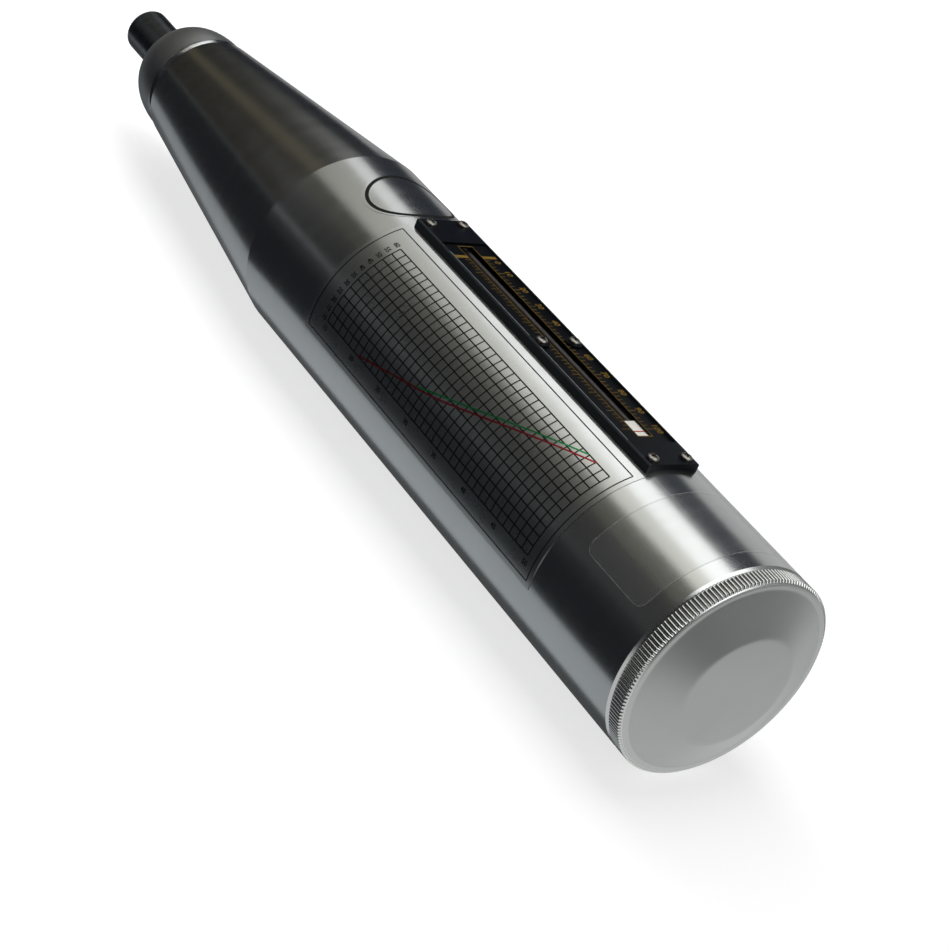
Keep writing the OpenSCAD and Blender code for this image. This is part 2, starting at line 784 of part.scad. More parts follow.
// Scale frame: black saddle screwed on the barrel round the pointer's slot
module scale_frame() {
    half = frame_w/2;
    c = frame_chamfer;
    color([0.08, 0.08, 0.09])
        difference() {
            translate([0, y_frame + frame_l, 0])
                rotate([90, 0, 0])
                    linear_extrude(frame_l)
                        difference() {
                            polygon([[-half, 0], [half, 0], [half, z_frame - c], [half - c, z_frame],
                                [c - half, z_frame], [-half, z_frame - c]]);
                            circle(body_r + seat_clear);
                        }
            recess(0);
            block([-pointer_slot_w/2, y_slot, 0], [pointer_slot_w/2, y_slot_end, z_recess + run_clear]);
            for (y = screw_rows, side = [-1, 1])
                translate([side*screw_gap/2, y, 0])
                    cylinder(d = screw_d, h = z_frame + over);
        }
}

// Space of the recess in the frame's top, less the lands round the middle screws
module recess(gap) {
    difference() {
        block([gap - recess_w/2, y_recess + gap, z_recess],
            [recess_w/2 - gap, y_recess + recess_l - gap, z_frame + over]);
        for (side = [-1, 1])
            translate([side*screw_gap/2, screw_rows[1], 0])
                cylinder(r = land_r + gap, h = z_frame + 2*over);
    }
}

// Scale plate: thin black plate with the scale, slotted for the pointer
module scale_plate() {
    color([0.05, 0.05, 0.05])
        difference() {
            intersection() {
                recess(seat_clear);
                block([-body_r, y_recess - over, z_recess],
                    [body_r, y_recess + recess_l + over, z_recess + plate_t]);
            }
            block([-slot_w/2, y_index - slot_rear, 0], [slot_w/2, y_zero + slot_over, z_frame + over]);
        }
}

// Frame screws: six pan-head screws that hold the frame to the barrel
module frame_screws() {
    color("silver")
        for (y = screw_rows, side = [-1, 1])
            translate([side*screw_gap/2, y, z_frame])
                union() {
                    translate([0, 0, -screw_l])
                        cylinder(d = screw_d, h = screw_l);
                    cylinder(d1 = screw_head_d, d2 = screw_head_d*screw_top_share, h = screw_head_h);
                }
}

// Pointer shaft: thin bar along the slot that the pointer runs on
module pointer_shaft() {
    color("gray")
        bar(shaft_d/2, y_slot - shaft_seat, y_slot_end + shaft_seat, shaft_x, z_shaft);
}

// Pointer block: white rider with a tail that the rebounding hammer picks up
module pointer_block() {
    half = pointer_slot_w/2 - free_gap;
    color("white")
        difference() {
            union() {
                block([-half, y_block, z_block_low], [half, y_block + pointer_l, z_block]);
                block([-half, y_mass_body - pointer_tail_l - free_gap, z_tail],
                    [half, y_mass_body - free_gap, z_block_low]);
            }
            bar(shaft_d/2 + run_clear, y_block - over, y_block + pointer_l + over, shaft_x, z_shaft);
        }
}

// Pointer leaf: bent strip under the block that presses on the shaft and gives the pointer its drag
module pointer_leaf() {
    half = slot_w/2;
    color("goldenrod")
        block([-half, y_mass_body + free_gap, z_block_low - leaf_t],
            [half, y_block + pointer_l, z_block_low]);
}

// A thin curved sheet on the barrel, from one arc length past the crest to another, towards -X
module sheet(from, to, y0, y1) {
    a0 = from/body_r*180/PI;
    a1 = to/body_r*180/PI;
    translate([0, y0, 0])
        rotate([-90, 0, 0])
            rotate([0, 0, -90 - a1])
                rotate_extrude(angle = a1 - a0)
                    translate([body_r + seat_clear, 0])
                        square([label_t, y1 - y0]);
}

// Chart label: printed foil beside the scale frame
module chart_label() {
    from = frame_w/2 + chart_gap;
    color("gainsboro")
        sheet(from, from + chart_arc, y_frame - chart_rear, y_chart_front);
}

// Clear label: bare clear film behind the frame
module clear_label() {
    from = clear_arc*(clear_side_share - 1);
    y_clear = y_body + clear_y;
    color([0.8, 0.8, 0.8, 0.5])
        sheet(from, from + clear_arc, y_clear, y_clear + clear_l);
}

// Oval label: bare oval foil in front of the frame
module oval_label() {
    y_mid = y_chart_front + oval_gap + oval_l/2;
    color("lightgray")
        intersection() {
            sheet(-oval_w, oval_w, y_mid - oval_l, y_mid + oval_l);
            linear_extrude(body_d)
                polygon(arc(0, y_mid, oval_w/2, oval_l/2, 0, 360 - 360/oval_steps, oval_steps - 1));
        }
}

housing();
rear_cap();
zero_screw();
lock_nut();
nose_cap();
snap_ring();
felt_seal();
spring_seat();
plunger();
buffer_spring();
guide_rod();
guide_flange();
hook();
hook_pin();
hook_spring();
hammer_mass();
impact_spring();
return_spring();
button_bush();
lock_button();
button_spring();
scale_frame();
scale_plate();
frame_screws();
pointer_shaft();
pointer_block();
pointer_leaf();
chart_label();
clear_label();
oval_label();
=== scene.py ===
import math

import bmesh
import bpy
from mathutils import Matrix, Vector


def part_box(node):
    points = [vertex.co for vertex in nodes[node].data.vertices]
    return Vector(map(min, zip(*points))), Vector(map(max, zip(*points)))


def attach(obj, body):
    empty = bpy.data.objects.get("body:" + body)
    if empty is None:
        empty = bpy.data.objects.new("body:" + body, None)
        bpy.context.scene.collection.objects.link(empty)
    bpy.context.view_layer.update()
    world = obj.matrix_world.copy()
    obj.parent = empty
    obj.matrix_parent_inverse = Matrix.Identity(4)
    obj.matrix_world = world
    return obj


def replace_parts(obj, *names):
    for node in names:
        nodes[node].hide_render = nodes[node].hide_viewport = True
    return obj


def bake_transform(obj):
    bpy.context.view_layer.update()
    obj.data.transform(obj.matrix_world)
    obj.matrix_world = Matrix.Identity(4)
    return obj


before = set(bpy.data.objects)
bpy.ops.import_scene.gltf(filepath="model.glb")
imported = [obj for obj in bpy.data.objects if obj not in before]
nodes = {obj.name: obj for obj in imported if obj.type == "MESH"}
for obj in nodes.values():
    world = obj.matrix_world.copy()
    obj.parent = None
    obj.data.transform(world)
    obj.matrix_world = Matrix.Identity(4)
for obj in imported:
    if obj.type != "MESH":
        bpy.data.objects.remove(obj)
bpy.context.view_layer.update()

# Barrel
# A tube of aluminium, turned on a lathe with a tapered front and left satin.
# The tool leaves fine rings round it, which blur what it reflects along its length.
mm = 0.001
body_r = 28.5 * mm


def linear(code, alpha=1.0):
    parts = [int(code[i:i + 2], 16) / 255 for i in (1, 3, 5)]
    return [c / 12.92 if c <= 0.04045 else ((c + 0.055) / 1.055) ** 2.4 for c in parts] + [alpha]


def add(tree, kind, sockets=None, **settings):
    made = tree.nodes.new(kind)
    for name, value in settings.items():
        setattr(made, name, value)
    for name, value in (sockets or {}).items():
        if isinstance(value, bpy.types.NodeSocket):
            tree.links.new(value, made.inputs[name])
        else:
            made.inputs[name].default_value = value
    return made


def start(name):
    made = bpy.data.materials.new(name)
    made.use_nodes = True
    return made, made.node_tree, made.node_tree.nodes["Principled BSDF"]


def dress(finish, *names):
    for name in names:
        nodes[name].data.materials.clear()
        nodes[name].data.materials.append(finish)


def turned_metal(name, color, dark, rough, rough_spread, ring_mm, ring_depth_mm):
    # Lathe rings about the barrel's axis: a fine noise along Y gives their height,
    # and a slower one, about 4 mm to the band, their shine.
    finish, tree, shader = start(name)
    place = add(tree, "ShaderNodeTexCoord").outputs["Object"]
    along = add(tree, "ShaderNodeSeparateXYZ", {"Vector": place}).outputs["Y"]
    rings = add(tree, "ShaderNodeTexNoise", {"W": along, "Scale": 1 / (ring_mm * mm), "Detail": 2.0},
                noise_dimensions="1D").outputs["Fac"]
    bands = add(tree, "ShaderNodeTexNoise", {"W": along, "Scale": 1 / (4.0 * mm), "Detail": 3.0},
                noise_dimensions="1D").outputs["Fac"]
    cloud = add(tree, "ShaderNodeTexNoise", {"Vector": place, "Scale": 1 / (22 * mm), "Detail": 4.0}).outputs["Fac"]
    tone = add(tree, "ShaderNodeMix", {"Factor": cloud, "A": linear(color), "B": linear(dark)},
               data_type="RGBA")
    shine = add(tree, "ShaderNodeMapRange", {"Value": bands, "From Min": 0.3, "From Max": 0.7,
                                             "To Min": rough, "To Max": rough + rough_spread})
    bump = add(tree, "ShaderNodeBump", {"Height": rings, "Strength": 0.25, "Distance": ring_depth_mm * mm})
    tree.links.new(tone.outputs["Result"], shader.inputs["Base Color"])
    tree.links.new(shine.outputs["Result"], shader.inputs["Roughness"])
    tree.links.new(bump.outputs["Normal"], shader.inputs["Normal"])
    shader.inputs["Metallic"].default_value = 1.0
    return finish


satin_aluminium = turned_metal("turned satin aluminium", "#b6b8b7", "#aeb0af", 0.212, 0.026, 0.5, 0.0015)
dress(satin_aluminium, "housing")

# Rear cap
# Aluminium, screwed into the barrel: a blasted face, turned to a shallow cone round a flat disc,
# and a straight knurl cut round its edge, brighter than the face.
knurl_y = 4.5 * mm
rim_r = (25.9 * mm, 26.2 * mm)
finish, tree, shader = start("blasted and knurled aluminium")
place = add(tree, "ShaderNodeTexCoord").outputs["Object"]
parts = add(tree, "ShaderNodeSeparateXYZ", {"Vector": place}).outputs
flat = add(tree, "ShaderNodeCombineXYZ", {"X": parts["X"], "Z": parts["Z"]}).outputs["Vector"]
radius = add(tree, "ShaderNodeVectorMath", {0: flat}, operation="LENGTH").outputs["Value"]
knurled = add(tree, "ShaderNodeMath", {0: parts["Y"], 1: knurl_y}, operation="GREATER_THAN").outputs["Value"]
rim = add(tree, "ShaderNodeMapRange", {"Value": radius, "From Min": rim_r[0], "From Max": rim_r[1]})
cloud = add(tree, "ShaderNodeTexNoise", {"Vector": place, "Scale": 1 / (14 * mm), "Detail": 4.0}).outputs["Fac"]
face = add(tree, "ShaderNodeMix", {"Factor": cloud, "A": linear("#a6a8a7"), "B": linear("#9c9e9d")},
           data_type="RGBA").outputs["Result"]
face = add(tree, "ShaderNodeMix", {"Factor": rim.outputs["Result"], "A": face, "B": linear("#aeb0af")},
           data_type="RGBA").outputs["Result"]
tone = add(tree, "ShaderNodeMix", {"Factor": knurled, "A": face, "B": linear("#bcbebc")},
           data_type="RGBA")
shine = add(tree, "ShaderNodeMapRange", {"Value": knurled, "To Min": 0.42, "To Max": 0.24})
grit = add(tree, "ShaderNodeTexNoise", {"Vector": place, "Scale": 1 / (0.35 * mm), "Detail": 2.0}).outputs["Fac"]
bump = add(tree, "ShaderNodeBump", {"Height": grit, "Strength": 0.12, "Distance": 0.02 * mm})
# The last pass of the lathe left fine rings in the face, drawn coarser than they are.
rings = add(tree, "ShaderNodeTexNoise", {"W": radius, "Scale": 1 / (0.5 * mm), "Detail": 3.0},
            noise_dimensions="1D").outputs["Fac"]
bump = add(tree, "ShaderNodeBump", {"Height": rings, "Strength": 0.3, "Distance": 0.012 * mm,
                                    "Normal": bump.outputs["Normal"]})
tree.links.new(tone.outputs["Result"], shader.inputs["Base Color"])
tree.links.new(shine.outputs["Result"], shader.inputs["Roughness"])
tree.links.new(bump.outputs["Normal"], shader.inputs["Normal"])
shader.inputs["Metallic"].default_value = 1.0


scene = bpy.context.scene


def seat(name, mesh, body):
    piece = bpy.data.objects.new(name, mesh)
    scene.collection.objects.link(piece)
    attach(piece, body)
    return piece


def mesh_piece(name, points, faces, finish, body):
    mesh = bpy.data.meshes.new(name)
    mesh.from_pydata(points, [], faces)
    mesh.materials.append(finish)
    return seat(name, mesh, body)


def smooth(mesh):
    mesh.polygons.foreach_set("use_smooth", [True] * len(mesh.polygons))


def turned(r, a, y):
    # A point of a turned piece, from its radius and place in mm and its angle from the top.
    return (r * mm * math.sin(a), y * mm, r * mm * math.cos(a))


def skin(faces, first, rows, around):
    # Joins rows of points, each closed in a ring, into one skin.
    for k in range(rows - 1):
        for i in range(around):
            a, b = first + k * around + i, first + k * around + (i + 1) % around
            faces.append((a, b, b + around, a + around))


# The turned outline from the middle of the face round to the boss for the zero screw,
# as (radius, place) in mm.
outline = [(0, 0), (14.6, 0), (15.2, 0.01), (15.8, 0.13), (16.4, 0.365), (25.4, 4.02), (25.8, 4.18),
           (26.15, 4.28), (26.6, 4.3), (27.2, 4.3), (27.55, 4.42), (27.95, 4.85), (27.95, 8.7), (27.7, 8.7),
           (27.7, 9.3), (24.47, 9.3), (24.47, 18.3), (19.27, 18.3), (19.27, 6.3), (6, 6.3), (6, 11.3),
           (2.5, 11.3), (2.5, 4.3), (0, 4.3)]
teeth = 172
points, faces = [], []
for r, y in outline:
    points += [turned(r, math.tau * i / teeth, y) for i in range(teeth)]
skin(faces, 0, len(outline), teeth)
# Rounded teeth with narrow grooves between them, each cut off in a chamfer at the rear: one tooth as
# (share of the pitch, share of the height), and rows along it as (place, root radius, top radius) in mm.
tooth = ((0.0, 0.0), (0.15, 0.6), (0.28, 0.88), (0.42, 1.0), (0.58, 1.0), (0.72, 0.88), (0.85, 0.6))
rows = ((4.66, 27.75, 27.85), (5.02, 28.0, 28.46), (5.2, 28.04, 28.5), (8.6, 28.04, 28.5),
        (8.7, 28.0, 28.4), (8.7, 27.9, 27.9))
base = len(points)
for y, root, top in rows:
    for i in range(teeth):
        points += [turned(root + rise * (top - root), math.tau * (i + share) / teeth, y) for share, rise in tooth]
skin(faces, base, len(rows), len(tooth) * teeth)
cap = mesh_piece("knurled_rear_cap", points, faces, finish, "barrel")
joined = bmesh.new()
joined.from_mesh(cap.data)
bmesh.ops.remove_doubles(joined, verts=joined.verts, dist=1e-7)
bmesh.ops.recalc_face_normals(joined, faces=joined.faces)
joined.to_mesh(cap.data)
joined.free()
smooth(cap.data)
cap.data.set_sharp_from_angle(angle=math.radians(32))
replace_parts(cap, "rear_cap")

# Nose cap and plunger
# Steel: the cap is turned to a full round, blasted matte and left with a polished lip at the barrel's end.
# The plunger is hardened and ground, its colour painted darker than the cap's as painted shade for the dark
# surroundings it reflects.
lip_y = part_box("nose_cap")[1].y - 17.1 * mm
lip_l = 1.6 * mm
matte_steel = turned_metal("blasted steel", "#a2a4a4", "#989a9a", 0.44, 0.06, 0.4, 0.003)
tree = matte_steel.node_tree
shader = tree.nodes["Principled BSDF"]
place = add(tree, "ShaderNodeTexCoord").outputs["Object"]
along = add(tree, "ShaderNodeSeparateXYZ", {"Vector": place}).outputs["Y"]
swell = add(tree, "ShaderNodeMapRange", {"Value": along, "From Min": lip_y, "From Max": lip_y + lip_l},
            interpolation_type="SMOOTHSTEP").outputs["Result"]
bump = add(tree, "ShaderNodeBump", {"Height": swell, "Distance": 0.62 * mm,
                                    "Normal": shader.inputs["Normal"].links[0].from_socket})
shine = add(tree, "ShaderNodeMapRange", {"Value": along, "From Min": lip_y + lip_l - 0.2 * mm,
                                         "From Max": lip_y + lip_l + 1.0 * mm, "To Min": 0.2, "To Max": 0.46})
tree.links.new(bump.outputs["Normal"], shader.inputs["Normal"])
tree.links.new(shine.outputs["Result"], shader.inputs["Roughness"])
dress(matte_steel, "nose_cap")
# The plunger's dark colour is painted shade.
dress(turned_metal("hardened ground steel", "#6a6e72", "#5e6266", 0.24, 0.06, 0.3, 0.001), "plunger")

# Mechanism
# Guide rod, hammer, hook, seat, stop ring and screws of turned steel inside the barrel,
# with springs of drawn wire, a brass drag leaf and a felt ring.
dress(turned_metal("turned mechanism steel", "#9a9c9d", "#8c8e90", 0.28, 0.1, 0.4, 0.004),
      "guide_rod", "guide_flange", "hammer_mass", "hook", "hook_pin", "spring_seat", "snap_ring", "zero_screw",
      "lock_nut")
spring_wire = turned_metal("drawn spring wire", "#7d8084", "#6c6f73", 0.3, 0.1, 0.6, 0.003)
dress(spring_wire, "impact_spring", "return_spring", "buffer_spring", "hook_spring", "button_spring")


def coils(name, node, reach_mm=None):
    # A spring's coils, or those within one reach along the barrel, copied
    # as a piece of their own in place of the spring.
    mesh = nodes[node].data.copy()
    mesh.name = name
    part = bmesh.new()
    part.from_mesh(mesh)
    for y, side in zip(reach_mm or (), (-1, 1)):
        bmesh.ops.bisect_plane(part, geom=part.verts[:] + part.edges[:] + part.faces[:],
                               plane_co=(0, y * mm, 0), plane_no=(0, side, 0), clear_outer=True)
    part.to_mesh(mesh)
    part.free()
    piece = bpy.data.objects.new(name, mesh)
    scene.collection.objects.link(piece)
    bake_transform(piece)
    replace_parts(piece, node)


# The impact spring hangs between the hammer and the seat in the barrel, and is cut in a rear half and a front half.
coils("impact_coils_rear", "impact_spring", (90, 174))
coils("impact_coils_front", "impact_spring", (174, 260))
coils("return_coils", "return_spring")
coils("buffer_coils", "buffer_spring")
coils("button_coils", "button_spring")
dress(turned_metal("rolled brass", "#b8964a", "#a4823c", 0.28, 0.1, 0.5, 0.003), "pointer_leaf")
finish, tree, shader = start("pressed felt")
place = add(tree, "ShaderNodeTexCoord").outputs["Object"]
fibre = add(tree, "ShaderNodeTexNoise", {"Vector": place, "Scale": 1 / (0.4 * mm), "Detail": 6.0}).outputs["Fac"]
tone = add(tree, "ShaderNodeMix", {"Factor": fibre, "A": linear("#d5cbb2"), "B": linear("#b3a688")},
           data_type="RGBA")
bump = add(tree, "ShaderNodeBump", {"Height": fibre, "Strength": 0.6, "Distance": 0.1 * mm})
tree.links.new(tone.outputs["Result"], shader.inputs["Base Color"])
tree.links.new(bump.outputs["Normal"], shader.inputs["Normal"])
shader.inputs["Roughness"].default_value = 0.95
shader.inputs["Sheen Weight"].default_value = 0.4
dress(finish, "felt_seal")

# Lock button
# A steel button that slides in a bush, which is screwed into the side of the barrel.
# Both are turned and nickel-plated, so they are brighter than the barrel.
dress(turned_metal("nickel plate", "#c2c2bd", "#b4b4ae", 0.18, 0.06, 0.4, 0.002), "lock_button", "button_bush")

# Scale frame
# An aluminium saddle, milled to the barrel's round and screwed on it over the pointer's slot.
# It is anodised black, with a satin sheen.
frame_low, frame_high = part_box("scale_frame")


def satin_black(name, color, worn, rough, gloss):
    # Anodised black: fine blasted grain, with the sheen a little uneven from handling.
    finish, tree, shader = start(name)
    place = add(tree, "ShaderNodeTexCoord").outputs["Object"]
    grain = add(tree, "ShaderNodeTexNoise", {"Vector": place, "Scale": 1 / (0.3 * mm), "Detail": 2.0}).outputs["Fac"]
    cloud = add(tree, "ShaderNodeTexNoise", {"Vector": place, "Scale": 1 / (9 * mm), "Detail": 4.0}).outputs["Fac"]
    tone = add(tree, "ShaderNodeMix", {"Factor": cloud, "A": linear(color), "B": linear(worn)},
               data_type="RGBA")
    shine = add(tree, "ShaderNodeMapRange", {"Value": cloud, "To Min": rough, "To Max": rough + 0.12})
    bump = add(tree, "ShaderNodeBump", {"Height": grain, "Strength": 0.1, "Distance": 0.01 * mm})
    tree.links.new(tone.outputs["Result"], shader.inputs["Base Color"])
    tree.links.new(shine.outputs["Result"], shader.inputs["Roughness"])
    tree.links.new(bump.outputs["Normal"], shader.inputs["Normal"])
    shader.inputs["Specular IOR Level"].default_value = gloss
    return finish


frame_black = satin_black("black anodised aluminium", "#0a0c11", "#101318", 0.26, 0.08)
tree = frame_black.node_tree
shader = tree.nodes["Principled BSDF"]
# Its sides and the narrow lands along its recess are painted greyer than its ends, a painted sheen for the light
# they catch.
place = add(tree, "ShaderNodeTexCoord").outputs["Object"]
across = add(tree, "ShaderNodeSeparateXYZ", {"Vector": place}).outputs["X"]
across = add(tree, "ShaderNodeMath", {0: across}, operation="ABSOLUTE").outputs["Value"]
painted_sheen = add(tree, "ShaderNodeMapRange", {"Value": across, "From Min": 7.1 * mm, "From Max": 7.25 * mm})
tone = add(tree, "ShaderNodeMix", {"Factor": painted_sheen.outputs["Result"], "B": linear("#2a2e31"),
                                   "A": shader.inputs["Base Color"].links[0].from_socket}, data_type="RGBA")
tree.links.new(tone.outputs["Result"], shader.inputs["Base Color"])
dress(frame_black, "scale_frame")

# Scale plate
# A thin black plate let into the frame, printed in dull gold: the scale from 0 to 100 on both sides of the slot,
# 0.75 mm to the unit, with a line every second unit and plain numbers beside every tenth.
dress(satin_black("black printed plate", "#07080b", "#0b0d10", 0.26, 0.1), "scale_plate")
index_y = 60.55 * mm
unit = 0.75 * mm
zero_y = index_y + 100 * unit
slot_half = 2.15 * mm


def ink(name, color, spread, rough=0.55, metal=0.0, gloss=0.5):
    # Printed ink: a little thinner in places, so its tone wanders.
    finish, tree, shader = start(name)
    place = add(tree, "ShaderNodeTexCoord").outputs["Object"]
    thin = add(tree, "ShaderNodeTexNoise", {"Vector": place, "Scale": 1 / (1.5 * mm), "Detail": 3.0}).outputs["Fac"]
    tone = add(tree, "ShaderNodeMix", {"Factor": thin, "A": linear(color), "B": linear(spread)},
               data_type="RGBA")
    tree.links.new(tone.outputs["Result"], shader.inputs["Base Color"])
    shader.inputs["Roughness"].default_value = rough
    shader.inputs["Metallic"].default_value = metal
    shader.inputs["Specular IOR Level"].default_value = gloss
    return finish


gold_ink = ink("dull gold ink", "#7e6218", "#584511", 0.5, gloss=0.2)
points, faces = [], []


def bar(x0, x1, y0, y1, z):
    k = len(points)
    points.extend([(x0, y0, z), (x1, y0, z), (x1, y1, z), (x0, y1, z)])
    faces.append((k, k + 1, k + 2, k + 3))


plate_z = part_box("scale_plate")[1].z + 0.015 * mm
line = 0.2 * mm
border_ends = (index_y - 2.9 * mm, zero_y + 5.1 * mm)
for side in (-1, 1):
    for i in range(0, 101, 2):
        reach = side * (3.0 if i == 100 else 2.3 if i % 10 == 0 else 1.5) * mm
        edge = side * (slot_half + 0.22 * mm)
        y = index_y + (100 - i) * unit
        bar(min(edge, edge + reach), max(edge, edge + reach), y - line / 2, y + line / 2, plate_z)
    edge = side * (slot_half + 0.2 * mm)
    bar(edge - 0.08 * mm, edge + 0.08 * mm, *border_ends, plate_z)
for y in border_ends:
    bar(-slot_half - 0.3 * mm, slot_half + 0.3 * mm, y - 0.13 * mm, y + 0.13 * mm, plate_z)
# The bar at zero is broader and reaches from the slot to the frame on both sides.
zero_half = 0.62 * mm
for x0, x1 in ((-7.0, -2.4), (2.4, 6.9)):
    bar(x0 * mm, x1 * mm, zero_y - zero_half, zero_y + zero_half, plate_z + 0.005 * mm)
mesh_piece("scale_lines", points, faces, gold_ink, "barrel")
# A painted highlight: a pale strip along the frame's left edge by the recess, where the edge catches the light,
# broken beside the middle screw.
points, faces = [], []
for y0, y1 in ((55.6, 94.0), (99.0, 137.0)):
    bar(-7.44 * mm, -7.2 * mm, y0 * mm, y1 * mm, frame_high.z + 0.01 * mm)
mesh_piece("painted_edge_highlight", points, faces, ink("rubbed aluminium", "#7e8285", "#54585b", 0.4), "barrel")


def words(name, text, size, matrix, finish, body, bend=None):
    # Printed figures, a little bolder than the plain font, laid flat or bent round the barrel.
    curve = bpy.data.curves.new(name, "FONT")
    curve.body = text
    curve.size = size
    curve.offset = 0.022 * size
    curve.align_x = "CENTER"
    curve.align_y = "CENTER"
    curve.resolution_u = 3
    holder = bpy.data.objects.new(name + "_curve", curve)
    scene.collection.objects.link(holder)
    mesh = bpy.data.meshes.new_from_object(holder.evaluated_get(bpy.context.evaluated_depsgraph_get()))
    bpy.data.objects.remove(holder)
    mesh.transform(matrix)
    if bend:
        for v in mesh.vertices:
            v.co = bend(v.co)
    mesh.materials.clear()
    mesh.materials.append(finish)
    mesh.name = name
    seat(name, mesh, body)


# The numbers read from the plunger's side to the rear, with their tops away from the slot.
turn = Matrix(((0, 1, 0, 0), (-1, 0, 0, 0), (0, 0, 1, 0), (0, 0, 0, 1)))
for i in range(0, 101, 10):
    y = index_y + (100 - i) * unit - (2.2 * mm if i == 0 else 0.0)
    words("scale_number_%d" % i, str(i), 2.5 * mm, Matrix.Translation((5.9 * mm, y, plate_z)) @ turn, gold_ink,
          "barrel")

# Frame screws
# Six small pan-head screws with a cross recess, through the frame into the barrel.
# They are nickel-plated steel, dulled by handling, and each stands turned a little further than the last.
rows = (frame_low.y + 2.4 * mm, frame_low.y * 0.526 + frame_high.y * 0.474, frame_high.y - 2.4 * mm)
places = [(x, y) for y in rows for x in (-5.25 * mm, 5.25 * mm)]
head_r = 1.6 * mm
head_h = 1.1 * mm
shank_r = 1.0 * mm
shank_l = 5 * mm
recess = (1.9 * mm, 0.42 * mm, 1.1 * mm)
turn_step = 0.7
screws = bmesh.new()
for n, (x, y) in enumerate(places):
    one = bmesh.new()
    outline = [(0.0, head_h)]
    outline += [(head_r * math.sin(a), head_h * (0.35 + 0.65 * math.cos(a)))
                for a in (math.radians(k * 11.25) for k in range(1, 9))]
    outline += [(head_r, 0.0), (shank_r, 0.0), (shank_r, -shank_l), (0.0, -shank_l)]
    loop = [one.verts.new((r, 0, z)) for r, z in outline]
    edges = [one.edges.new((a, b)) for a, b in zip(loop, loop[1:])]
    bmesh.ops.spin(one, geom=loop + edges, axis=(0, 0, 1), cent=(0, 0, 0), angle=math.tau, steps=40)
    bmesh.ops.remove_doubles(one, verts=one.verts, dist=1e-7)
    bmesh.ops.recalc_face_normals(one, faces=one.faces)
    bmesh.ops.rotate(one, verts=one.verts, cent=(0, 0, 0), matrix=Matrix.Rotation(turn_step * n, 3, "Z"))
    bmesh.ops.translate(one, verts=one.verts, vec=(x, y, frame_high.z))
    mesh = bpy.data.meshes.new("screw")
    one.to_mesh(mesh)
    one.free()
    screws.from_mesh(mesh)
    bpy.data.meshes.remove(mesh)
mesh = bpy.data.meshes.new("frame_screw_heads")
screws.to_mesh(mesh)
screws.free()
smooth(mesh)
mesh.materials.append(turned_metal("dulled nickel plate", "#8c8983", "#6c6963", 0.26, 0.1, 0.5, 0.004))
heads = bpy.data.objects.new("frame_screw_heads", mesh)
scene.collection.objects.link(heads)
crosses = bmesh.new()
for n, (x, y) in enumerate(places):
    for quarter in (0, 1):
        cut = bmesh.ops.create_cube(crosses, size=1.0)["verts"]
        bmesh.ops.scale(crosses, verts=cut, vec=recess)
        bmesh.ops.rotate(crosses, verts=cut, cent=(0, 0, 0),
                         matrix=Matrix.Rotation(turn_step * n + quarter * math.pi / 2 + 0.4, 3, "Z"))
        bmesh.ops.translate(crosses, verts=cut, vec=(x, y, frame_high.z + head_h))
mesh = bpy.data.meshes.new("cross_cut")
crosses.to_mesh(mesh)
crosses.free()
cutter = bpy.data.objects.new("cross_cut", mesh)
scene.collection.objects.link(cutter)
boolean = heads.modifiers.new("cross", "BOOLEAN")
boolean.object = cutter
boolean.operation = "DIFFERENCE"
boolean.use_self = True
cut_mesh = bpy.data.meshes.new_from_object(heads.evaluated_get(bpy.context.evaluated_depsgraph_get()))
heads.modifiers.clear()
heads.data = cut_mesh
bpy.data.objects.remove(cutter)
edge_split = heads.modifiers.new("edges", "EDGE_SPLIT")
edge_split.split_angle = math.radians(35)
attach(heads, "barrel")
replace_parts(heads, "frame_screws")

# Pointer
# An ivory rider on the steel shaft, drawn under the slot, with a red line across it.
# It shows 100 here, where the last rebound left it.
finish, tree, shader = start("ivory plastic")
place = add(tree, "ShaderNodeTexCoord").outputs["Object"]
cloud = add(tree, "ShaderNodeTexNoise", {"Vector": place, "Scale": 1 / (2 * mm), "Detail": 3.0}).outputs["Fac"]
tone = add(tree, "ShaderNodeMix", {"Factor": cloud, "A": linear("#eceae2"), "B": linear("#dcd8cb")},
           data_type="RGBA")
tree.links.new(tone.outputs["Result"], shader.inputs["Base Color"])
shader.inputs["Roughness"].default_value = 0.42
dress(finish, "pointer_block")
block_low, block_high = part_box("pointer_block")
dress(ink("oxidised steel", "#5c5655", "#484443", 0.5, 0.3), "pointer_shaft")
red_ink = ink("red ink", "#b81a22", "#9c161d")
points, faces = [], []
bar(block_low.x + 0.3 * mm, block_high.x - 0.3 * mm, index_y - line, index_y + line, block_high.z + 0.02 * mm)
mesh_piece("pointer_line", points, faces, red_ink, "pointer")

# Chart label
# A silver foil stuck on the barrel beside the frame, with a printed grid, its border and two curves.
# The heading and the legend are left off; plain numbers stand along two edges.
finish, tree, shader = start("printed silver foil")
place = add(tree, "ShaderNodeTexCoord").outputs["Object"]
cloud = add(tree, "ShaderNodeTexNoise", {"Vector": place, "Scale": 1 / (7 * mm), "Detail": 5.0}).outputs["Fac"]
tone = add(tree, "ShaderNodeMix", {"Factor": cloud, "A": linear("#bdbfbe"), "B": linear("#b1b3b2")},
           data_type="RGBA")
shine = add(tree, "ShaderNodeMapRange", {"Value": cloud, "To Min": 0.24, "To Max": 0.32})
tree.links.new(tone.outputs["Result"], shader.inputs["Base Color"])
tree.links.new(shine.outputs["Result"], shader.inputs["Roughness"])
shader.inputs["Metallic"].default_value = 1.0
dress(finish, "chart_label")
print_r = body_r + 0.2 * mm
black_ink = ink("black ink", "#0c0c0d", "#161614", 0.6, gloss=0.12)
# The two colours are thin enough for the foil to shine through them.
red_foil = ink("red ink on foil", "#9a2a31", "#862228", 0.3, 0.85)
green_foil = ink("green ink on foil", "#1c8a4a", "#16743c", 0.3, 0.75)


def wrap(u, y, lift=0.0):
    a = u / print_r
    return (-(print_r + lift) * math.sin(a), y, (print_r + lift) * math.cos(a))


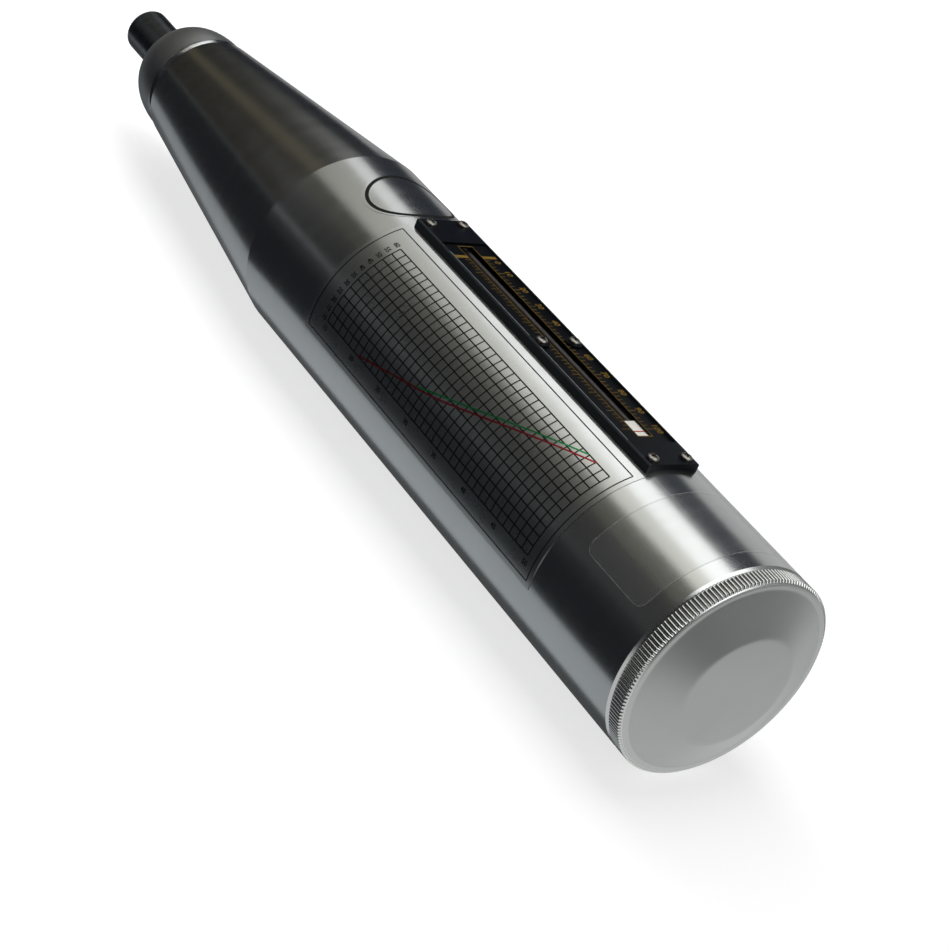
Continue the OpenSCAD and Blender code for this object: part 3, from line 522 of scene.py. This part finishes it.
def ribbon(path, width, lift=0.0):
    # A flat printed line along points of (arc length, place along the barrel), in short straight steps.
    fine = [Vector(path[0])]
    for a, b in zip(path, path[1:]):
        steps = max(1, int(abs(b[0] - a[0]) / (0.6 * mm)))
        fine += [Vector(a).lerp(Vector(b), (k + 1) / steps) for k in range(steps)]
    for i, p in enumerate(fine):
        d = (fine[min(i + 1, len(fine) - 1)] - fine[max(i - 1, 0)]).normalized()
        n = Vector((-d.y, d.x)) * width / 2
        points.append(wrap(p.x + n.x, p.y + n.y, lift))
        points.append(wrap(p.x - n.x, p.y - n.y, lift))
        if i:
            k = len(points)
            faces.append((k - 4, k - 3, k - 1, k - 2))


points, faces = [], []
grid_u = [(15.85 + 2.7 * i) * mm for i in range(11)]
grid_y = [(48.9 + 2.775 * i) * mm for i in range(36)]
grid_line = 0.36 * mm
for u in grid_u:
    ribbon([(u, grid_y[0]), (u, grid_y[-1])], grid_line)
for y in grid_y:
    ribbon([(grid_u[0], y), (grid_u[-1], y)], grid_line)
(u0, u1), (y0, y1) = (11.3 * mm, 48.0 * mm), (46.1 * mm, 153.0 * mm)
border = [(u0, y0), (u1, y0), (u1, y1), (u0, y1), (u0, y0)]
for a, b in zip(border, border[1:]):
    ribbon([a, b], 0.32 * mm)
mesh_piece("chart_grid", points, faces, black_ink, "barrel")


def curve(ends):
    # A smooth line through the points, by cutting corners three times.
    path = [Vector(p) * mm for p in ends]
    for _ in range(3):
        inner = [q for a, b in zip(path, path[1:]) for q in (a.lerp(b, 0.25), a.lerp(b, 0.75))]
        path = [path[0]] + inner + [path[-1]]
    return [tuple(p) for p in path]


points, faces = [], []
ribbon(curve([(15.9, 54.2), (24.5, 74.3), (31.2, 90.9), (34.6, 100.3), (37.0, 109.4), (40.0, 120.6),
              (42.8, 130.4)]), 0.45 * mm, 0.012 * mm)
mesh_piece("chart_red_curve", points, faces, red_foil, "barrel")
points, faces = [], []
ribbon(curve([(15.9, 57.5), (23.2, 74.4), (30.4, 92.0), (34.1, 102.3), (36.3, 107.6)]), 0.42 * mm, 0.008 * mm)
mesh_piece("chart_green_curve", points, faces, green_foil, "barrel")


def bend(co):
    return wrap(co.x, co.y, 0.004 * mm)


flip = Matrix(((0, -1, 0, 0), (-1, 0, 0, 0), (0, 0, 1, 0), (0, 0, 0, 1)))
figure, figure_gap = 1.9 * mm, 2.0 * mm
for i in range(11):
    words("chart_number_%d" % (60 - 5 * i), str(60 - 5 * i), figure,
          Matrix.Translation((grid_u[i], grid_y[-1] + figure_gap, 0)) @ flip,
          black_ink, "barrel", bend)
for i in range(0, 36, 5):
    words("chart_mark_%d" % (50 - i), str(50 - i), figure,
          Matrix.Translation((grid_u[-1] + figure_gap, grid_y[i], 0)) @ flip,
          black_ink, "barrel", bend)

# Oval label
# Satin foil, cut to an oval on the crest of the barrel, with a plain printed ring and nothing inside it.
# It is so thin that its edge hardly shows.
oval_low, oval_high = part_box("oval_label")
oval_y = (oval_low.y + oval_high.y) / 2
oval_u, oval_half = 14.6 * mm, 10.8 * mm
foil_lift, ring_lift = -0.15 * mm, -0.12 * mm
shares = (1.0, 0.8, 0.6, 0.4, 0.2)
steps = 96
points, faces = [], []
for share in shares:
    for i in range(steps):
        a = math.tau * i / steps
        points.append(wrap(oval_u * share * math.cos(a), oval_y + oval_half * share * math.sin(a), foil_lift))
points.append(wrap(0.0, oval_y, foil_lift))
skin(faces, 0, len(shares), steps)
inner = (len(shares) - 1) * steps
faces += [(inner + i, inner + (i + 1) % steps, inner + steps) for i in range(steps)]
oval = mesh_piece("oval_foil", points, faces, satin_aluminium, "barrel")
smooth(oval.data)
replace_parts(oval, "oval_label")
points = []
for i in range(steps):
    a = math.tau * i / steps
    for out in (0.0, 1.0):
        points.append(wrap((12.7 + out) * mm * math.cos(a), oval_y + (9.5 + out) * mm * math.sin(a), ring_lift))
faces = [(2 * i, 2 * i + 1, (2 * i + 3) % (2 * steps), (2 * i + 2) % (2 * steps)) for i in range(steps)]
mesh_piece("oval_ring", points, faces, black_ink, "barrel")

# Clear label
# A clear film with rounded corners, stuck on the bare barrel behind the frame and left blank.
# Its cut edge catches the light, drawn as a painted highlight: a thin pale line.
film_low, film_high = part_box("clear_label")
film_u = (-20.8 * mm, 31.2 * mm)
corner = 2.6 * mm
film_lift, edge_lift = -0.06 * mm, -0.04 * mm
u0, u1 = film_u[0] + corner, film_u[1] - corner
y0, y1 = film_low.y + corner, film_high.y - corner
outline = []
for cu, cy, first in ((u1, y1, 0), (u0, y1, 90), (u0, y0, 180), (u1, y0, 270)):
    for a in (math.radians(first + k * 15) for k in range(7)):
        outline.append((cu + corner * math.cos(a), cy + corner * math.sin(a)))
film_bm = bmesh.new()
columns = 60
for i in range(columns + 1):
    u = film_u[0] + (film_u[1] - film_u[0]) * i / columns
    inset = 0.0
    for edge, sign in ((film_u[0], 1), (film_u[1], -1)):
        d = (u - edge) * sign
        if d < corner:
            inset = corner - math.sqrt(max(0.0, corner ** 2 - (corner - d) ** 2))
    row = [film_bm.verts.new(wrap(u, y, film_lift)) for y in (film_low.y + inset, film_high.y - inset)]
    if i:
        film_bm.faces.new((last[0], last[1], row[1], row[0]))
    last = row
mesh = bpy.data.meshes.new("clear_film")
film_bm.to_mesh(mesh)
film_bm.free()
smooth(mesh)
finish, tree, shader = start("clear vinyl film")
place = add(tree, "ShaderNodeTexCoord").outputs["Object"]
cloud = add(tree, "ShaderNodeTexNoise", {"Vector": place, "Scale": 1 / (5 * mm), "Detail": 4.0}).outputs["Fac"]
haze = add(tree, "ShaderNodeMapRange", {"Value": cloud, "To Min": 0.02, "To Max": 0.05})
tree.links.new(haze.outputs["Result"], shader.inputs["Alpha"])
shader.inputs["Base Color"].default_value = linear("#c8cac9")
shader.inputs["Roughness"].default_value = 0.35
mesh.materials.append(finish)
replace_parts(seat("clear_film", mesh, "barrel"), "clear_label")
points, faces = [], []
ribbon(outline + [outline[0]], 0.14 * mm, edge_lift)
# A painted highlight along the film's cut edge.
finish, tree, shader = start("cut edge of the film")
place = add(tree, "ShaderNodeTexCoord").outputs["Object"]
cloud = add(tree, "ShaderNodeTexNoise", {"Vector": place, "Scale": 1 / (3 * mm), "Detail": 3.0}).outputs["Fac"]
tone = add(tree, "ShaderNodeMix", {"Factor": cloud, "A": linear("#c4c6c5"), "B": linear("#a4a6a5")},
           data_type="RGBA")
tree.links.new(tone.outputs["Result"], shader.inputs["Base Color"])
shader.inputs["Roughness"].default_value = 0.4
shader.inputs["Alpha"].default_value = 0.4
mesh_piece("clear_film_edge_highlight", points, faces, finish, "barrel")

# Bench
# A white bench top and a white room: rays from the camera and from shiny surfaces see it as white,
# and it still takes the hammer's shadow.
floor_z = -body_r
bench_half = 6
mesh = bpy.data.meshes.new("bench")
mesh.from_pydata([(x * bench_half, y * bench_half, floor_z) for x, y in ((-1, -1), (1, -1), (1, 1), (-1, 1))], [],
                 [(0, 1, 2, 3)])


def bare(name):
    finish = bpy.data.materials.new(name)
    finish.use_nodes = True
    finish.node_tree.nodes.clear()
    return finish, finish.node_tree


def seen_white(tree):
    # 1 for rays from the camera and from shiny or clear surfaces, 0 for the light that falls on things.
    path = add(tree, "ShaderNodeLightPath").outputs
    seen = add(tree, "ShaderNodeMath", {0: path["Is Camera Ray"], 1: path["Is Glossy Ray"]}, operation="MAXIMUM")
    seen = add(tree, "ShaderNodeMath", {0: seen.outputs["Value"], 1: path["Is Transmission Ray"]},
               operation="MAXIMUM")
    return seen.outputs["Value"]


finish, tree = bare("white bench")
# Away from the lamp the bench glows more, so that it runs into the white room without a line.
place = add(tree, "ShaderNodeTexCoord").outputs["Object"]
away = add(tree, "ShaderNodeVectorMath", {0: place}, operation="LENGTH")
level = add(tree, "ShaderNodeMapRange", {"Value": away.outputs["Value"], "From Min": 0.4, "From Max": 1.5,
                                         "To Min": 0.72, "To Max": 0.94})
glow = add(tree, "ShaderNodeMath", {0: seen_white(tree), 1: level.outputs["Result"]}, operation="MULTIPLY")
white = add(tree, "ShaderNodeEmission", {"Strength": glow.outputs["Value"]})
paper = add(tree, "ShaderNodeBsdfDiffuse", {"Color": linear("#b4b4b4")})
both = add(tree, "ShaderNodeAddShader", {0: white.outputs["Emission"], 1: paper.outputs["BSDF"]})
add(tree, "ShaderNodeOutputMaterial", {"Surface": both.outputs["Shader"]})
mesh.materials.append(finish)
bench = bpy.data.objects.new("bench", mesh)
scene.collection.objects.link(bench)
room = bpy.data.worlds.new("white room")
room.use_nodes = True
scene.world = room
tree = room.node_tree
level = add(tree, "ShaderNodeMapRange", {"Value": seen_white(tree), "To Min": 0.16, "To Max": 1.0})
tree.links.new(level.outputs["Result"], tree.nodes["Background"].inputs["Strength"])
tree.nodes["Background"].inputs["Color"].default_value = (1, 1, 1, 1)

# Light
# A lamp above the hammer, and round it a long tent of cards that shows only in reflections, as a studio
# sets metal off: a bright panel over the crest, a pale wall on the right, dark flags between and on the left.
lamp = bpy.data.lights.new("soft_box", "AREA")
lamp.shape = "RECTANGLE"
lamp.size = 0.5
lamp.size_y = 0.9
lamp.energy = 5.2
box = bpy.data.objects.new("soft_box", lamp)
box.location = (0.03, 0.45, 0.62)
box.visible_glossy = False
scene.collection.objects.link(box)
tent_r = 0.6
rear_end, rear_y, near_y, far_y, front_y, front_end = -1.6, 0.2, 0.42, 0.78, 0.9, 2.0
wall_half = 0.7


def card(name, corners, color, near, far=None, reach=(near_y, far_y)):
    # A card glows by itself, evenly or from one strength to another along its length.
    finish, tree = bare(name)
    glow = add(tree, "ShaderNodeEmission", {"Color": linear(color), "Strength": near})
    if far is not None:
        place = add(tree, "ShaderNodeTexCoord").outputs["Object"]
        along = add(tree, "ShaderNodeSeparateXYZ", {"Vector": place}).outputs["Y"]
        level = add(tree, "ShaderNodeMapRange", {"Value": along, "From Min": reach[0], "From Max": reach[1],
                                                 "To Min": near, "To Max": far})
        tree.links.new(level.outputs["Result"], glow.inputs["Strength"])
    add(tree, "ShaderNodeOutputMaterial", {"Surface": glow.outputs["Emission"]})
    mesh = bpy.data.meshes.new(name)
    mesh.from_pydata(corners, [], [(k, k + 1, k + 3, k + 2) for k in range(0, len(corners) - 2, 2)])
    mesh.materials.append(finish)
    sheet = bpy.data.objects.new(name, mesh)
    sheet.visible_camera = False
    sheet.visible_diffuse = False
    sheet.visible_shadow = False
    sheet.visible_transmission = False
    scene.collection.objects.link(sheet)


def tent(name, left, right, color, near, far=None, ends=(rear_y, front_y)):
    # A strip of the tent. Its two edges stand at one angle from the top at near_y and at another at far_y,
    # in degrees, positive on the left.
    corners = []
    steps = 12
    for k in range(steps + 1):
        y = ends[0] + (ends[1] - ends[0]) * k / steps
        t = min(1.0, max(0.0, (y - near_y) / (far_y - near_y)))
        for edge in (left, right):
            a = math.radians(edge[0] + (edge[1] - edge[0]) * t)
            corners.append((-tent_r * math.sin(a), y, tent_r * math.cos(a)))
    card(name, corners, color, near, far)


tent("bright_panel", (4, -18), (-20, -36), "#ffffff", 2.3, 1.15)
tent("dim_panel", (20, 21), (4, -18), "#fffdf4", 1.35, 0.48)
tent("upper_flag", (42, 42), (20, 21), "#fffbe8", 0.16, 0.045)
tent("left_flag", (74, 74), (42, 42), "#ffffff", 0.065, 0.017)
tent("left_strip", (80, 80), (74, 74), "#f4fbff", 0.07, 0.24)
tent("low_flag", (94, 94), (80, 80), "#e8f2ff", 0.035, 0.05)
tent("right_flag", (-20, -36), (-54, -86), "#d0e0ff", 0.06, 0.04)
tent("right_wall", (-54, -86), (-94, -94), "#ffffff", 0.68, 0.36)
# Behind the cap the tent is dim, darkest far off on the right, with a bright panel at its top for the cap's
# knurl and the barrel's rear edge, and one at the side for the lip of the nose. Each row gives its two ends
# and its bands, as (left edge, strength).
hood = ((rear_end, -0.6, ((94, 0.05), (54, 0.05), (15, 2.6), (-12, 2.6), (-40, 0.2), (-66, 0.1), (-94, 0))),
        (-0.6, 0.1, ((94, 0.05), (54, 0.05), (15, 2.6), (-12, 2.6), (-40, 0.3), (-66, 0.3), (-94, 0))),
        (0.1, rear_y, ((94, 0.05), (64, 0.05), (34, 3.0), (10, 3.0), (-14, 0.06), (-54, 0.06), (-94, 0))))
for y0, y1, bands in hood:
    for (left, level), (right, _) in zip(bands, bands[1:]):
        tent("hood", (left, left), (right, right), "#ffffff", level, ends=(y0, y1))


def wall(name, y, color, level):
    card(name, [(x, y, z) for x in (-wall_half, wall_half) for z in (floor_z, wall_half)], color, level)


wall("rear_wall", rear_end, "#ffffff", 0.05)
far_ends = (front_y, front_end)
tent("front_left", (77, 77), (18, 18), "#fff6dc", 0.024, ends=far_ends)
tent("front_left_strip", (80, 80), (77, 77), "#f4fbff", 0.16, ends=far_ends)
tent("front_low", (94, 94), (80, 80), "#e8f2ff", 0.02, ends=far_ends)
tent("front_strip", (18, 18), (-2, -2), "#fff0c8", 0.12, ends=far_ends)
tent("front_right", (-2, -2), (-58, -58), "#fff8e6", 0.024, ends=far_ends)
tent("front_flag", (-58, -58), (-94, -94), "#c4d6ff", 0.02, ends=far_ends)
wall("front_wall", front_end, "#fffaf0", 0.12)
# On the bench a dark card lies left of the hammer, and a grey one between it and the barrel paints the bench's shade
# there as the metal mirrors it, a deeper painted shade under it and a pale one on its right. Behind the cap the
# bench is pale near it and dark further off.
bench_z = floor_z + 0.4 * mm
cap_y = 8 * mm


def strip(name, edges, color, near, far):
    # Rows along the bench, each from one edge to the other, closer to the axis where the hammer tapers.
    corners = []
    for y, k in ((cap_y, 0), (0.03, 0), (0.2, 1), (0.28, 2), (front_end, 2)):
        corners += [(edge[k], y, bench_z) for edge in edges]
    card(name, corners, color, near, far, (0.15, 0.26))


dark_edge = (-0.05, -0.0425, -0.033)
shade_edge = (-0.024, -0.0205, -0.016)
pale_edge = (0.03, 0.03, 0.022)
strip("bench_dark", ((-wall_half,) * 3, dark_edge), "#e0ecff", 0.026, 0.026)
strip("bench_grey_shade", (dark_edge, shade_edge), "#f4faff", 0.56, 0.42)
strip("bench_shade", (shade_edge, pale_edge), "#f4faff", 0.09, 0.12)
strip("bench_pale", (pale_edge, (wall_half,) * 3), "#ffffff", 0.6, 0.42)
for x0, x1, dim in ((-wall_half, 0.24, 0.06), (0.24, wall_half, 0.7)):
    card("bench_rear", [(x, y, bench_z) for y in (rear_end, cap_y) for x in (x0, x1)], "#ffffff", dim, 0.97,
         (-0.18, -0.06))

# Camera
# It stands behind and to the left of the hammer and looks down along it, tilted as the photograph is.
# Its place is in metres, and its three directions were fitted to the barrel's outline.
scene.view_settings.view_transform = "Standard"
lens = bpy.data.cameras.new("camera")
lens.sensor_width = 36
lens.lens = 89.15
lens.shift_x = -0.00094
lens.shift_y = 0.00366
camera = bpy.data.objects.new("camera", lens)
right = Vector((0.78049, -0.51005, 0.36151))
down = Vector((-0.01611, -0.59447, -0.80395))
ahead = Vector((0.62496, 0.62165, -0.4722))
facing = Matrix((right, -down, -ahead)).transposed().to_4x4()
camera.matrix_world = Matrix.Translation((-0.373935, -0.269138, 0.266275)) @ facing
scene.collection.objects.link(camera)
scene.camera = camera
